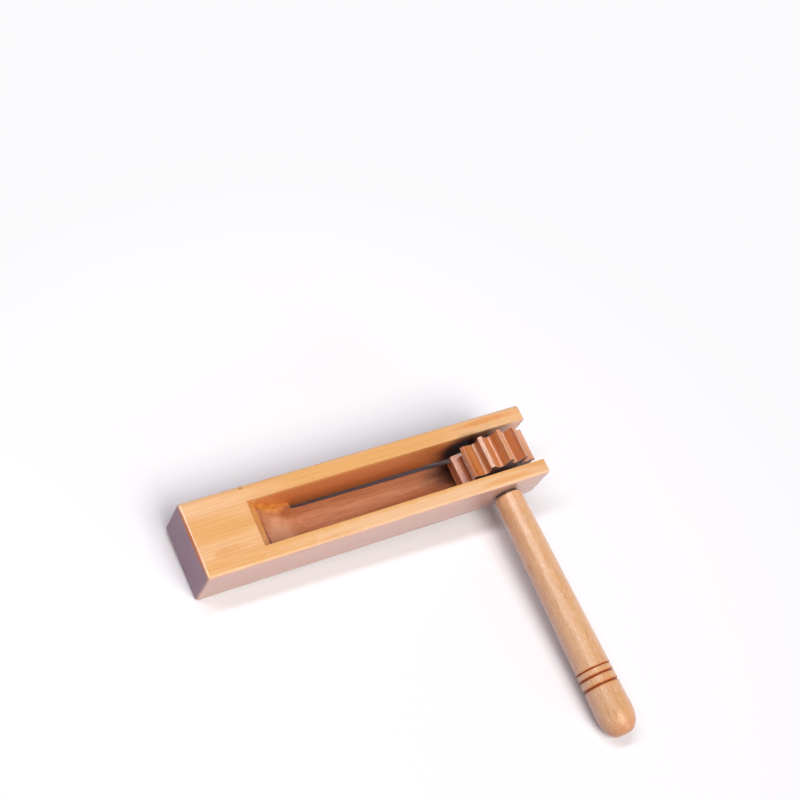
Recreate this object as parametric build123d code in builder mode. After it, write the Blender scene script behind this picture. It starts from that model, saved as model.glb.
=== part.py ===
from build123d import *
import os
from math import acos, asin, atan2, cos, degrees, radians, sin, sqrt

# Wooden gragger. A frame with a solid butt and two arms carries a toothed cog on a turned handle,
# and a springy tongue that clacks from valley to valley as the handle is whirled round.
# +X runs from the butt to the arm ends, the handle points to -Y, and +Z is the open face of the slot.
# The origin is under the middle of the part, on the surface that its cog lies on. Lengths are in mm.

# Frame
frame_length = 140.0
frame_depth = 20.0
far_arm_thickness = 6.2
near_arm_thickness = 5.6
slot_width = 17.2
butt_length = 23.6  # solid wood from the butt end to the slot, at the open face
edge_round = 1.0  # eased outer edges
end_bevel_length = 16.0  # sanded corners at the back of the arm ends
end_bevel_depth = 3.2
end_bevel_width = 1.6

# Round cutter that runs out into the butt and leaves the slot's curved ramp
cutter_radius = 33.0

# Cog and the axle that it is glued to
axle_radius = 4.0
axle_setback = 15.8  # axle to arm ends
axle_clearance = 0.1  # radial, in both arms
axle_end_inset = 0.3  # axle end below the far arm's outer face
axle_lead = 0.5  # small chamfer on the axle's end
glue_gap = 0.05
cog_teeth = 12
cog_radius = 15.2
cog_width = 12.7
cog_far_gap = 2.9  # cog to the far arm
valley_depth = 4.4
valley_nose = 1.4  # radius at the bottom of each valley
flank_angle = 30.0  # degrees that each flank leans out from the valley's middle

# Tongue
tongue_thickness = 2.2
tongue_recess = 1.4  # back face to the blade's underside, where the blade starts
tongue_slope = 2.2  # degrees that the blade leans out towards its tip
slit_width = 2.0  # saw slit between the blade and each arm
root_length = 21.0  # from the slot's end at the open face to where the slits start
seam_depth = 6.3  # glue line on the ramp, below the open face
seat_clearance = 0.1
tip_clearance = 0.3  # tip and blade to the teeth on either side of the valley that they sit in

# Handle
handle_length = 95.7  # shoulder to tip
shoulder_gap = 1.5  # near arm to shoulder
shoulder_round = 0.7
neck_radius = 5.4
grip_radius = 6.95
dome_length = 8.5
tip_flat_radius = 1.5
burnt_rings = (25.0, 22.3, 18.7)  # distances of the three burnt grooves from the tip
burnt_ring_width = 1.1
burnt_ring_depth = 0.5

overcut = 1.0  # how far a cutting shape runs past the face that it opens

# Places along X and Z
butt_x = -frame_length / 2
end_x = frame_length / 2
slot_x = butt_x + butt_length
slit_x = slot_x + root_length
axle_x = end_x - axle_setback
axle_z = cog_radius
top_z = axle_z + frame_depth / 2
back_z = axle_z - frame_depth / 2

# Places along Y, from the far arm to the handle's tip
frame_width = far_arm_thickness + slot_width + near_arm_thickness
overall_width = frame_width + shoulder_gap + handle_length
far_y = overall_width / 2
near_y = far_y - frame_width
slot_far_y = far_y - far_arm_thickness
slot_middle_y = slot_far_y - slot_width / 2
cog_far_y = slot_far_y - cog_far_gap
shoulder_y = near_y - shoulder_gap
tip_y = shoulder_y - handle_length
dome_y = tip_y + dome_length

# The cutter's circle, seen along Y: it shapes the ramp and the top of the tongue's root
cutter_z = back_z + tongue_recess + tongue_thickness + cutter_radius
cutter_x = slot_x + sqrt(cutter_radius**2 - (cutter_z - top_z) ** 2)
seam_z = top_z - seam_depth
seam_x = cutter_x - sqrt(cutter_radius**2 - (cutter_z - seam_z) ** 2)
root_x = seam_x + seat_clearance
root_z = cutter_z - sqrt(cutter_radius**2 - (cutter_x - root_x) ** 2)
ramp_start = degrees(atan2(top_z - cutter_z, slot_x - cutter_x))
ramp_end = degrees(atan2(seam_z - cutter_z, seam_x - cutter_x))
root_start = degrees(atan2(root_z - cutter_z, root_x - cutter_x))
root_end = -90 - tongue_slope

# The blade, seen along Y: its directions, its start on the cutter's circle, and the axle from there
along_blade = Vector(cos(radians(tongue_slope)), -sin(radians(tongue_slope)))
out_of_blade = Vector(sin(radians(tongue_slope)), cos(radians(tongue_slope)))
blade_start = Vector(cutter_x, cutter_z) - out_of_blade * cutter_radius
axle_from_start = Vector(axle_x, axle_z) - blade_start
axle_height = axle_from_start.dot(out_of_blade)
axle_run = axle_from_start.dot(along_blade)

# The cog rests with one valley over the tip. The tooth on the butt's side just clears the blade, and the
# tip's square end clears the corner of the tooth beyond it as the blade springs out and back.
# Angles are from the blade's normal.
flank_sine = sin(radians(flank_angle))
nose_centre_radius = cog_radius - valley_depth + valley_nose
flank_distance = nose_centre_radius * flank_sine - valley_nose  # from the axle to the line of a flank
half_mouth = radians(flank_angle) - asin(flank_distance / cog_radius)
valley_lean = acos((axle_height - tip_clearance) / cog_radius) - half_mouth
blade_run = axle_run - cog_radius * sin(valley_lean - half_mouth) - tip_clearance
valley_angle = -90 - tongue_slope - degrees(valley_lean)
tip_top = blade_start + along_blade * blade_run
tip_bottom = tip_top - out_of_blade * tongue_thickness
root_bottom = tip_bottom - along_blade * ((tip_bottom.X - root_x) / along_blade.X)


def section_at(y):
    """Plane square to the axle at y, with X to its right, Z up and the handle's way as its normal."""
    return Plane(origin=(0, y, 0), x_dir=(1, 0, 0), z_dir=(0, -1, 0))


def grip_radius_at(y):
    """Radius of the handle's taper at y."""
    return neck_radius + (grip_radius - neck_radius) * (shoulder_y - y) / (shoulder_y - dome_y)


def flank_at(out):
    """Half width of a valley where it is this far out from the middle of its rounded bottom."""
    return (valley_nose + out * flank_sine) / cos(radians(flank_angle))


with BuildPart() as frame:
    with Locations((0, far_y - frame_width / 2, axle_z)):
        Box(frame_length, frame_width, frame_depth)
    fillet(frame.edges(), edge_round)
    with BuildSketch(section_at(slot_far_y)):
        with BuildLine():
            ramp = CenterArc((cutter_x, cutter_z), cutter_radius, ramp_start, ramp_end - ramp_start)
            Polyline(
                ramp @ 1,
                (seam_x, back_z - overcut),
                (end_x + overcut, back_z - overcut),
                (end_x + overcut, top_z + overcut),
                (slot_x, top_z + overcut),
                ramp @ 0,
            )
        make_face()
    extrude(amount=slot_width, mode=Mode.SUBTRACT)
    with BuildSketch(section_at(far_y)):
        with Locations((axle_x, axle_z)):
            Circle(axle_radius + axle_clearance)
    extrude(amount=frame_width, mode=Mode.SUBTRACT)
    for side_y, inward in ((far_y, -1), (near_y, 1)):
        bevel_start = Vector(end_x - end_bevel_length, side_y, back_z)
        up_the_side = Vector(end_bevel_length, 0, end_bevel_depth)
        over_the_back = Vector(end_bevel_length, inward * end_bevel_width, 0)
        outward = over_the_back.cross(up_the_side) * inward
        split(bisect_by=Plane(bevel_start, x_dir=up_the_side, z_dir=outward), keep=Keep.BOTTOM)
frame.part.label = "frame"

with BuildPart() as tongue:
    with BuildSketch(section_at(slot_far_y - seat_clearance)):
        with BuildLine():
            root_top = CenterArc((cutter_x, cutter_z), cutter_radius, root_start, root_end - root_start)
            Polyline(root_top @ 1, tip_top, tip_bottom, root_bottom, root_top @ 0)
        make_face()
    extrude(amount=slot_width - 2 * seat_clearance)
    with BuildSketch(Plane.XY.offset(tip_bottom.Y - overcut)):
        with Locations((slit_x, slot_middle_y)):
            with GridLocations(0, slot_width - slit_width, 1, 2):
                Rectangle(end_x - slit_x, slit_width, align=(Align.MIN, Align.CENTER))
    extrude(amount=frame_depth, mode=Mode.SUBTRACT)
tongue.part.label = "tongue"

with BuildPart() as cog:
    flank_in = -valley_nose * flank_sine
    flank_out = cog_radius - nose_centre_radius + overcut
    valley_corners = (
        (flank_in, -flank_at(flank_in)),
        (flank_out, -flank_at(flank_out)),
        (flank_out, flank_at(flank_out)),
        (flank_in, flank_at(flank_in)),
    )
    with BuildSketch(section_at(cog_far_y)):
        with Locations((axle_x, axle_z)):
            Circle(cog_radius)
            with PolarLocations(nose_centre_radius, cog_teeth, start_angle=valley_angle):
                Circle(valley_nose, mode=Mode.SUBTRACT)
                Polygon(*valley_corners, align=None, mode=Mode.SUBTRACT)
            Circle(axle_radius + glue_gap, mode=Mode.SUBTRACT)
    extrude(amount=cog_width)
cog.part.label = "cog"

with BuildPart() as handle:
    turning_axis = Axis((axle_x, 0, axle_z), (0, 1, 0))
    with BuildSketch(Plane.XY.offset(axle_z)):
        with BuildLine():
            axle_end_y = far_y - axle_end_inset
            Polyline(
                (axle_x + tip_flat_radius, tip_y),
                (axle_x, tip_y),
                (axle_x, axle_end_y),
                (axle_x + axle_radius - axle_lead, axle_end_y),
                (axle_x + axle_radius, axle_end_y - axle_lead),
                (axle_x + axle_radius, shoulder_y),
                (axle_x + neck_radius - shoulder_round, shoulder_y),
            )
            round_y = shoulder_y - shoulder_round
            shoulder_end = (axle_x + grip_radius_at(round_y), round_y)
            TangentArc((axle_x + neck_radius - shoulder_round, shoulder_y), shoulder_end, tangent=(1, 0))
            Line(shoulder_end, (axle_x + grip_radius, dome_y))
            EllipticalCenterArc(
                (axle_x + tip_flat_radius, dome_y),
                grip_radius - tip_flat_radius,
                dome_length,
                start_angle=-90,
                arc_size=90,
            )
        make_face()
    revolve(axis=turning_axis)
    with BuildSketch(Plane.XY.offset(axle_z)):
        for from_tip in burnt_rings:
            ring_y = tip_y + from_tip
            ring_x = axle_x + grip_radius_at(ring_y)
            with BuildLine():
                Polyline(
                    (ring_x - burnt_ring_depth, ring_y),
                    (ring_x, ring_y + burnt_ring_width / 2),
                    (ring_x + overcut, ring_y + burnt_ring_width / 2),
                    (ring_x + overcut, ring_y - burnt_ring_width / 2),
                    (ring_x, ring_y - burnt_ring_width / 2),
                    close=True,
                )
            make_face()
    revolve(axis=turning_axis, mode=Mode.SUBTRACT)
handle.part.label = "handle"

os.makedirs("parts", exist_ok=True)
export_step(frame.part, "parts/frame.step")
export_step(tongue.part, "parts/tongue.step")
export_step(cog.part, "parts/cog.step")
export_step(handle.part, "parts/handle.step")
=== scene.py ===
import logging
import math
from dataclasses import dataclass
from enum import Enum
from functools import cached_property
from typing import Any, Callable, Iterable, Mapping, Sequence

import bmesh
import bpy
from bmesh.types import BMEdge, BMesh, BMFace, BMVert
from bpy.types import Material, NodeSocket as Socket, Object, World
from mathutils import Matrix, Quaternion, Vector


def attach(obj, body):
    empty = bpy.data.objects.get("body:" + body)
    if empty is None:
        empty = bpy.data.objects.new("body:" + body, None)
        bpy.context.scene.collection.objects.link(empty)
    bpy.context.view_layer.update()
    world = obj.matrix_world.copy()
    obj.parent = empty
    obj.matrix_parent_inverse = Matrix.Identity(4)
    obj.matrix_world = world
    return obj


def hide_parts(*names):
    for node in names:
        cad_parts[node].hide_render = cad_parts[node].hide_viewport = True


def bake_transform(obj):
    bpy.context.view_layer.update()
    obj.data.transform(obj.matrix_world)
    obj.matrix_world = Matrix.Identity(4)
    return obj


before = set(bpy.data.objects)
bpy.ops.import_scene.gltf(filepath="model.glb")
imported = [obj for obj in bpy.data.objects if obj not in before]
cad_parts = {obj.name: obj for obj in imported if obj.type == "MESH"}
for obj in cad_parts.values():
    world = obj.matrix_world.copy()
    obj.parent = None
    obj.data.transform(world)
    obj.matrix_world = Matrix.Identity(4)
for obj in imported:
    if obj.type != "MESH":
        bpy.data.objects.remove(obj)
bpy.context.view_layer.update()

# A wooden gragger: a slotted block, a springy tongue glued into its slot, a toothed cog between the
# arms and a turned handle. Sizes are in mm and meshes are turned to metres when they are finished.
MM = 0.001
SHARP_ANGLE = math.radians(32)
FLAT_ANGLE = math.radians(0.5)
ROUND_PROFILE = 0.5
WELD = 1e-4
NEAR = 0.01
ENDLESS = 1e6  # size of a pattern along an axis that it doesn't change along
ACROSS_X, ACROSS_Y, ACROSS_Z = (1.0, ENDLESS, ENDLESS), (ENDLESS, 1.0, ENDLESS), (ENDLESS, ENDLESS, 1.0)
ROUND_Y = (1.0, ENDLESS, 1.0)
EDGE_LAYER = "worn_edge"
REST_LAYER = "rest_place"
LOG = logging.getLogger("gragger")
X_AXIS, Y_AXIS, Z_AXIS = Vector((1.0, 0.0, 0.0)), Vector((0.0, 1.0, 0.0)), Vector((0.0, 0.0, 1.0))

Triple = tuple[float, float, float]
Pair = tuple[float, float]

# Sizes that pieces share with each other or with their finishes
END_X = 70.0
TOP_Z = 25.2
SLOT_NEAR_Y, SLOT_FAR_Y = 39.7, 56.9
AXLE_X, AXLE_Z = 54.2, 15.2
DOME_Y = -54.6
BURNT_AT = (-38.1, -40.8, -44.4)
BURNT_HALF = (0.40, 0.55, 0.60)
BURNT_RINGS = [((0.0, at, 0.0), (ENDLESS, half, ENDLESS)) for at, half in zip(BURNT_AT, BURNT_HALF)]
OFF_TIP = (0.0, -100.0, 0.0)  # a point beyond the handle's tip, from which places along it are counted


class Fibres(Enum):
    """Direction in which the fibres of a piece of wood run."""

    ALONG_FRAME = (1, 0, 0)
    ALONG_HANDLE = (0, 1, 0)


class Places(Enum):
    """What a pattern is drawn on: the piece's own space, or where its points were before it bent."""

    OBJECT = "object"
    REST = "rest"


def linear(colour: str) -> tuple[float, float, float, float]:
    """Turns an sRGB hex colour into linear red, green, blue and alpha.

    Args:
        colour: Hex colour, such as #EEB56F.

    Returns:
        The four linear channels.
    """
    parts = [int(colour[i:i + 2], 16) / 255 for i in (1, 3, 5)]
    red, green, blue = (c / 12.92 if c <= 0.04045 else ((c + 0.055) / 1.055) ** 2.4 for c in parts)
    return red, green, blue, 1.0


@dataclass(frozen=True)
class Band:
    """A share that changes with the distance from a centre, measured in sizes along each axis."""

    centre: Triple
    size: Triple
    start: float
    end: float
    first: float = 0.0
    last: float = 1.0


class Graph:
    """The nodes of a material or of the world, with short calls for those that repeat."""

    def __init__(self, owner: Material | World, places: Places = Places.OBJECT) -> None:
        """Empties the owner's nodes.

        Args:
            owner: Material or world that the nodes belong to.
            places: What its patterns are drawn on.
        """
        owner.use_nodes = True
        self.tree = owner.node_tree
        self.tree.nodes.clear()
        self.places = places

    def node(
        self, kind: str, links: Mapping[str | int, Any] | None = None,
        stops: Sequence[tuple[float, str]] = (), **settings: Any,
    ) -> Mapping[str | int, Socket]:
        """Adds a node with its settings, its colour stops and its links.

        Args:
            kind: Blender's name for the type of node, without "ShaderNode".
            links: Input to the socket that feeds it, to its fixed value, or to its hex colour.
            stops: Places and hex colours of a colour ramp, from left to right.
            settings: Properties of the node.

        Returns:
            The new node's outputs.
        """
        node = self.tree.nodes.new("ShaderNode" + kind)
        for name, value in settings.items():
            setattr(node, name, value)
        if stops:
            ramp = node.color_ramp.elements
            ramp.remove(ramp[-1])
            ramp[0].position, ramp[0].color = stops[0][0], linear(stops[0][1])
            for place, colour in stops[1:]:
                ramp.new(place).color = linear(colour)
        for name, source in (links or {}).items():
            if isinstance(source, Socket):
                self.tree.links.new(source, node.inputs[name])
            else:
                node.inputs[name].default_value = linear(source) if isinstance(source, str) else source
        return node.outputs

    @cached_property
    def place(self) -> Socket:
        """Gives where the shaded point lies, in mm.

        Returns:
            Socket with the place.
        """
        if self.places is Places.REST:
            metres = self.node("Attribute", attribute_name=REST_LAYER)["Vector"]
        else:
            metres = self.node("TexCoord")["Object"]
        return self.node("VectorMath", {0: metres, "Scale": 1 / MM}, operation="SCALE")[0]

    def math(self, operation: str, *values: Any) -> Socket:
        """Works out one operation on numbers."""
        return self.node("Math", dict(enumerate(values)), operation=operation)[0]

    def times(self, first: Any, second: Any) -> Socket:
        """Multiplies two values."""
        return self.math("MULTIPLY", first, second)

    def sum(self, value: Any, factor: float, other: Any) -> Socket:
        """Adds a multiple of one value to another."""
        return self.math("MULTIPLY_ADD", value, factor, other)

    def noise(self, place: Socket, scale: float, detail: float = 2.0) -> Socket:
        """Draws plain noise, with values about 0.5."""
        return self.node("TexNoise", {"Vector": place, "Scale": scale, "Detail": detail})[0]

    def squeezed(self, factors: Sequence[float]) -> Socket:
        """Gives the place with a factor along each axis."""
        return self.node("VectorMath", {0: self.place, 1: factors}, operation="MULTIPLY")[0]

    def length(self, vector: Socket) -> Socket:
        """Gives the length of a vector."""
        return self.node("VectorMath", {0: vector}, operation="LENGTH")["Value"]

    def away(self, centre: Sequence[float], size: Sequence[float], turn: Triple = (0.0,) * 3) -> Socket:
        """Gives the distance from a centre, as a share of a size along each axis.

        Args:
            centre: Where the distance is 0.
            size: Where along each axis the distance is 1.
            turn: Degrees that the axes are turned about X, Y and Z.

        Returns:
            Socket with the distance.
        """
        angles = [math.radians(angle) for angle in turn]
        links = {"Vector": self.place, "Location": centre, "Scale": size, "Rotation": angles}
        return self.length(self.node("Mapping", links, vector_type="TEXTURE")[0])

    def between(
        self, value: Socket, start: float, end: float, first: float = 0.0, last: float = 1.0,
        way: str = "SMOOTHSTEP",
    ) -> Socket:
        """Goes from a first to a last value while the input goes from start to end."""
        links = {0: value, 1: start, 2: end, 3: first, 4: last}
        return self.node("MapRange", links, interpolation_type=way)[0]

    def banded(self, value: Any, bands: Iterable[Band]) -> Any:
        """Multiplies a value by the shares of some bands.

        Args:
            value: Socket or number.
            bands: The bands.

        Returns:
            Socket with the product, or the value itself if there are no bands.
        """
        for band in bands:
            away = self.away(band.centre, band.size)
            value = self.times(self.between(away, band.start, band.end, band.first, band.last), value)
        return value

    def mix(self, share: Any, under: Any, over: Any, way: str = "MIX") -> Socket:
        """Lays one colour over another by a share."""
        return self.node("Mix", {0: share, 6: under, 7: over}, data_type="RGBA", blend_type=way)[2]

    def surface(self, height: Socket, bump: float, depth: float, sockets: Mapping[str, Any]) -> None:
        """Adds the shader of wood or glue with its bump, and the output.

        Args:
            height: Height of the surface.
            bump: How strongly the height shows.
            depth: How much the height is, in mm.
            sockets: The shader's other inputs.
        """
        normal = self.node("Bump", {"Height": height, "Strength": bump, "Distance": depth * MM})[0]
        shader = self.node("BsdfPrincipled", {"Normal": normal, "IOR": LACQUER_IOR, **sockets})
        self.node("OutputMaterial", {"Surface": shader[0]})


@dataclass(frozen=True)
class Figure:
    """Noise along the fibres: its features' length and width in mm, its octaves, and where it fades in."""

    long: float
    wide: float
    detail: float = 2.0
    low: float = 0.34
    high: float = 0.66


# Pores of beech and birch are about 0.1 mm wide, drawn at three times that to show.
PORES = Figure(4.5, 0.34, 1.0, 0.60, 0.74)
BROAD_TONE = Figure(75.0, 9.0)
RUBBING = Figure(7.0, 3.0, high=0.64)
RING_SWAY = Figure(60.0, 11.0)
MARK_RIM = Figure(5.0, 2.5)
STREAK_SHADE = "#DDBE9E"
STREAK_GLOSS = (0.3, 0.7)  # where the streaks go from duller to shinier than the rest
DULLER, SHINIER = 0.07, 0.05
LACQUER_IOR = 1.5
LATE_WOOD = ((0.0, "#101010"), (0.45, "#1C1C1C"), (0.82, "#9A9A9A"), (0.93, "#FFFFFF"), (1.0, "#101010"))
PAINTED_COG_SHADOW = "#140604"
MARK_CORE = 0.35  # share of a stain's size that has its full strength


@dataclass(frozen=True)
class Tone:
    """The tone of some faces, under the grain: its colour, its strength and the bands that bound it."""

    colour: str
    most: float
    bands: tuple[Band, ...]


@dataclass(frozen=True)
class StainOrPaintedLight:
    """A mark with a ragged rim, either a stain in the wood or painted light and shade: its middle and half
    sizes in mm, its colour and its strength.
    """

    centre: Triple
    size: Triple
    colour: str
    most: float
    ragged: float = 0.3
    turn: float = 0.0


@dataclass(frozen=True)
class Wood:
    """Close-grained hardwood under lacquer: growth rings round a far pith, fibre streaks, pores and flecks.

    Real fibres are about 0.03 mm wide, so streaks are bundles of them, drawn coarser to show. Flecks are
    rays cut across, which shine paler. Real ones are about 0.2 mm wide, drawn at up to twice that.
    """

    name: str
    pale: str
    deep: str
    ring_line: str
    worn: str
    fibres: Fibres
    pith: Triple
    lean: Triple
    ring_width: float
    ring_strength: float
    wander: float
    streak_strength: float
    pore_strength: float
    fleck_strength: float
    bump: float
    roughness: float
    coat: float
    coat_roughness: float
    streaks: Figure = Figure(30.0, 0.5, 3.0, 0.32, 0.58)
    flecks: Figure = Figure(2.4, 0.4, 2.0, 0.56, 0.70)
    grit: float = 0.0  # size of torn fibres in mm, where there are any
    grit_detail: float = 3.0
    grit_height: float = 1.2
    least_worn: float = 0.1
    worn_strength: float = 0.8
    pore_depth: float = 0.5
    bump_depth: float = 0.25
    haze: float = 0.05
    haze_roughness: float = 0.4
    haze_tint: str = "#E9DFFF"
    places: Places = Places.OBJECT
    film: tuple[Band, ...] = ()
    tones: tuple[Tone, ...] = ()
    stains_and_painted_light: tuple[StainOrPaintedLight, ...] = ()

    def material(self) -> Material:
        """Makes the material.

        Returns:
            The finished material.
        """
        material = bpy.data.materials.new(self.name)
        graph = Graph(material, self.places)
        streaks = self._drawn(graph, self.streaks)
        pores = self._faded(graph, PORES)
        colour = graph.mix(self._faded(graph, BROAD_TONE), self.pale, self.deep)
        for tone in self.tones:
            colour = graph.mix(graph.banded(tone.most, tone.bands), colour, tone.colour)
        colour = graph.mix(graph.times(self._rings(graph), self.ring_strength), colour, self.ring_line)
        share = graph.between(streaks, self.streaks.low, self.streaks.high)
        shade = graph.mix(share, STREAK_SHADE, "#FFFFFF")
        colour = graph.mix(self.streak_strength, colour, shade, "MULTIPLY")
        colour = graph.mix(graph.times(pores, self.pore_strength), colour, self.ring_line)
        flecks = self._faded(graph, self.flecks)
        colour = graph.mix(graph.times(flecks, self.fleck_strength), colour, self.worn)
        edge = graph.node("Attribute", attribute_name=EDGE_LAYER)["Fac"]
        rubbed = self._faded(graph, RUBBING, self.least_worn, self.worn_strength)
        colour = graph.mix(graph.times(edge, rubbed), colour, self.worn)
        for stain in self.stains_and_painted_light:
            colour = graph.mix(self._stain_or_painted_light(graph, stain), colour, stain.colour)
        height = graph.sum(pores, -self.pore_depth, streaks)
        if self.grit:
            torn = graph.noise(graph.place, 1 / self.grit, self.grit_detail)
            height = graph.sum(torn, self.grit_height, height)
        dull, shiny = self.roughness + DULLER, self.roughness - SHINIER
        graph.surface(height, self.bump, self.bump_depth, {
            "Base Color": self.dress(graph, colour),
            "Roughness": graph.between(streaks, *STREAK_GLOSS, dull, shiny),
            "Coat Weight": graph.banded(self.coat, self.film), "Coat Roughness": self.coat_roughness,
            "Coat IOR": LACQUER_IOR,
            "Sheen Weight": self.haze, "Sheen Roughness": self.haze_roughness, "Sheen Tint": self.haze_tint,
        })
        return material

    def dress(self, graph: Graph, colour: Socket) -> Socket:
        """Adds what only this piece has, over the grain; plain wood has nothing more."""
        return colour

    def _drawn(self, graph: Graph, figure: Figure) -> Socket:
        """Draws a figure along the fibres, with values about 0.5."""
        squeeze = [1 / (figure.long if along else figure.wide) for along in self.fibres.value]
        return graph.noise(graph.squeezed(squeeze), 1.0, figure.detail)

    def _faded(self, graph: Graph, figure: Figure, first: float = 0.0, last: float = 1.0) -> Socket:
        """Draws a figure that fades in from a first to a last value."""
        return graph.between(self._drawn(graph, figure), figure.low, figure.high, first, last)

    def _rings(self, graph: Graph) -> Socket:
        """Draws growth rings as thin late-wood lines round the pith.

        Args:
            graph: Nodes of the material.

        Returns:
            Socket that is 1 on a line and nearly 0 between lines.
        """
        radius = graph.away(self.pith, [ENDLESS if along else 1.0 for along in self.fibres.value], self.lean)
        swayed = graph.sum(self._drawn(graph, RING_SWAY), self.wander, radius)
        part = graph.math("FRACT", graph.math("DIVIDE", swayed, self.ring_width))
        return graph.node("ValToRGB", {0: part}, LATE_WOOD)[0]

    def _stain_or_painted_light(self, graph: Graph, stain: StainOrPaintedLight) -> Socket:
        """Draws the strength of one stain or painted light, which fades out from its core.

        Args:
            graph: Nodes of the material.
            stain: The stain or painted light.

        Returns:
            Socket with its strength.
        """
        away = graph.away(stain.centre, stain.size, (0.0, stain.turn, 0.0))
        rim = graph.sum(self._drawn(graph, MARK_RIM), stain.ragged, away)
        sway = stain.ragged / 2
        return graph.between(rim, sway + MARK_CORE, sway + 1.0, stain.most, 0.0)


@dataclass(frozen=True)
class BurntWood(Wood):
    """Turned wood with three rings burnt in by a wire."""

    char: str = "#843200"
    char_rim: Pair = (0.6, 1.15)
    char_strength: float = 0.95
    scorch: str = "#DC8434"
    scorch_rim: Pair = (1.0, 2.1)
    scorch_strength: float = 0.9
    burn_scale: float = 0.8
    burn_ragged: float = 0.5

    def dress(self, graph: Graph, colour: Socket) -> Socket:
        """Burns the grooves.

        Args:
            graph: Nodes of the material.
            colour: Colour of the plain wood.

        Returns:
            Socket with the burnt colour.
        """
        first, second, third = (graph.away(centre, size) for centre, size in BURNT_RINGS)
        nearest = graph.math("MINIMUM", graph.math("MINIMUM", first, second), third)
        ragged = graph.sum(graph.noise(graph.place, self.burn_scale), self.burn_ragged, nearest)
        scorched = graph.between(ragged, *self.scorch_rim, self.scorch_strength, 0.0)
        charred = graph.between(ragged, *self.char_rim, self.char_strength, 0.0)
        return graph.mix(charred, graph.mix(scorched, colour, self.scorch), self.char)


@dataclass(frozen=True)
class Glue:
    """Hide glue that was squeezed out and has dried hard and smooth."""

    name: str
    colour: str
    dirt: str
    roughness: float
    cloud_scale: float = 0.5
    dirt_until: float = 0.35
    clear_from: float = 0.6
    bump: float = 0.3
    bump_depth: float = 0.2

    def material(self) -> Material:
        """Makes the material.

        Returns:
            The finished material.
        """
        material = bpy.data.materials.new(self.name)
        graph = Graph(material)
        cloud = graph.noise(graph.place, self.cloud_scale)
        stops = ((self.dirt_until, self.dirt), (self.clear_from, self.colour))
        colour = graph.node("ValToRGB", {0: cloud}, stops)[0]
        graph.surface(cloud, self.bump, self.bump_depth, {"Base Color": colour, "Roughness": self.roughness})
        return material


# Beech sanded and dipped in honey lacquer: a warm golden face, faint straight grain and a soft sheen.
# Its tones are pinkish-grey sides, a painted reflection of the pale floor; a deeper orange in the slot that
# fades out towards the top, painted shade and bounce light over lacquer that pooled there; and end grain
# that drank most of the lacquer, darker and painted mauve for the lavender reflection on it.
# Its marks are a butt edge painted darker orange against the reflection it catches, a bright ramp, a painted
# sheen along the near arm's top, a pin knot, a swirl, deeper flames at the two arm ends, a streak on the
# near side, and a painted shadow that the cog casts on the far wall.
FRAME_WOOD = Wood(
    name="honey_lacquered_beech", pale="#F4C28E", deep="#EBB068", ring_line="#D58E3C", worn="#F4CC98",
    fibres=Fibres.ALONG_FRAME, pith=(0.0, 20.0, -38.0), lean=(0.0, 1.2, 1.6), ring_width=3.1,
    ring_strength=0.22, wander=2.4, streak_strength=0.3, pore_strength=0.18, fleck_strength=0.12, bump=0.16,
    roughness=0.42, coat=1.0, coat_roughness=0.2, worn_strength=0.3,
    film=(Band((0.0, 0.0, 0.0), ACROSS_X, 69.2, 69.9, 1.0, 0.15),),
    tones=(
        # Painted reflection: the outer sides are pinkish grey for the pale floor they reflect.
        Tone("#CC9D8A", 0.85, (Band((0.0, 48.6, 0.0), ACROSS_Y, 13.6, 14.4),)),
        # Painted shade and bounce light: the slot is deeper orange, fading out towards the top, over pooled
        # lacquer.
        Tone("#E0802A", 0.85, (
            Band((0.0, 48.3, 0.0), ACROSS_Y, 8.65, 8.75, 1.0, 0.0),
            Band((END_X, 0.0, 0.0), ACROSS_X, 111.7, 112.3, 1.0, 0.0),
            Band((0.0, 0.0, TOP_Z), ACROSS_Z, 0.3, 3.0),
        )),
        # Painted reflection: the darker end grain is mauve for the lavender light it reflects.
        Tone("#744E78", 0.85, (Band((0.0, 0.0, 0.0), ACROSS_X, 69.2, 69.9),)),
    ),
    stains_and_painted_light=(
        # Painted shade: the butt's top edge is darker orange against the reflection it catches.
        StainOrPaintedLight((-69.8, 48.6, 25.0), (1.3, 17.0, 1.6), "#C46A28", 0.8, 0.2),
        StainOrPaintedLight((-44.0, 48.3, 22.0), (4.5, 10.0, 5.0), "#F6B45C", 0.9),
        # Painted sheen: a paler band along the near arm's top.
        StainOrPaintedLight((12.0, 36.9, 25.2), (76.0, 2.8, 2.0), "#FAD4B0", 0.45, 0.6),
        StainOrPaintedLight((-46.5, 62.0, 25.2), (1.0, 0.55, 2.0), "#A8642C", 0.8, 0.2),
        StainOrPaintedLight((-59.0, 41.5, 25.2), (8.0, 2.2, 6.0), "#E0963E", 0.5, 1.6),
        StainOrPaintedLight((54.0, 60.6, 25.2), (18.0, 1.5, 4.0), "#E58A28", 0.6, 0.9),
        StainOrPaintedLight((51.0, 36.5, 25.2), (15.0, 1.3, 4.0), "#E89434", 0.5, 0.9),
        StainOrPaintedLight((23.0, 34.1, 7.2), (18.0, 1.2, 0.9), "#A56C5C", 0.6, 0.8, 12.0),
        # Painted shadow that the cog casts on the far wall.
        StainOrPaintedLight((45.0, 57.0, 15.0), (13.0, 3.0, 13.0), PAINTED_COG_SHADOW, 0.95),
    ),
)

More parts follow.
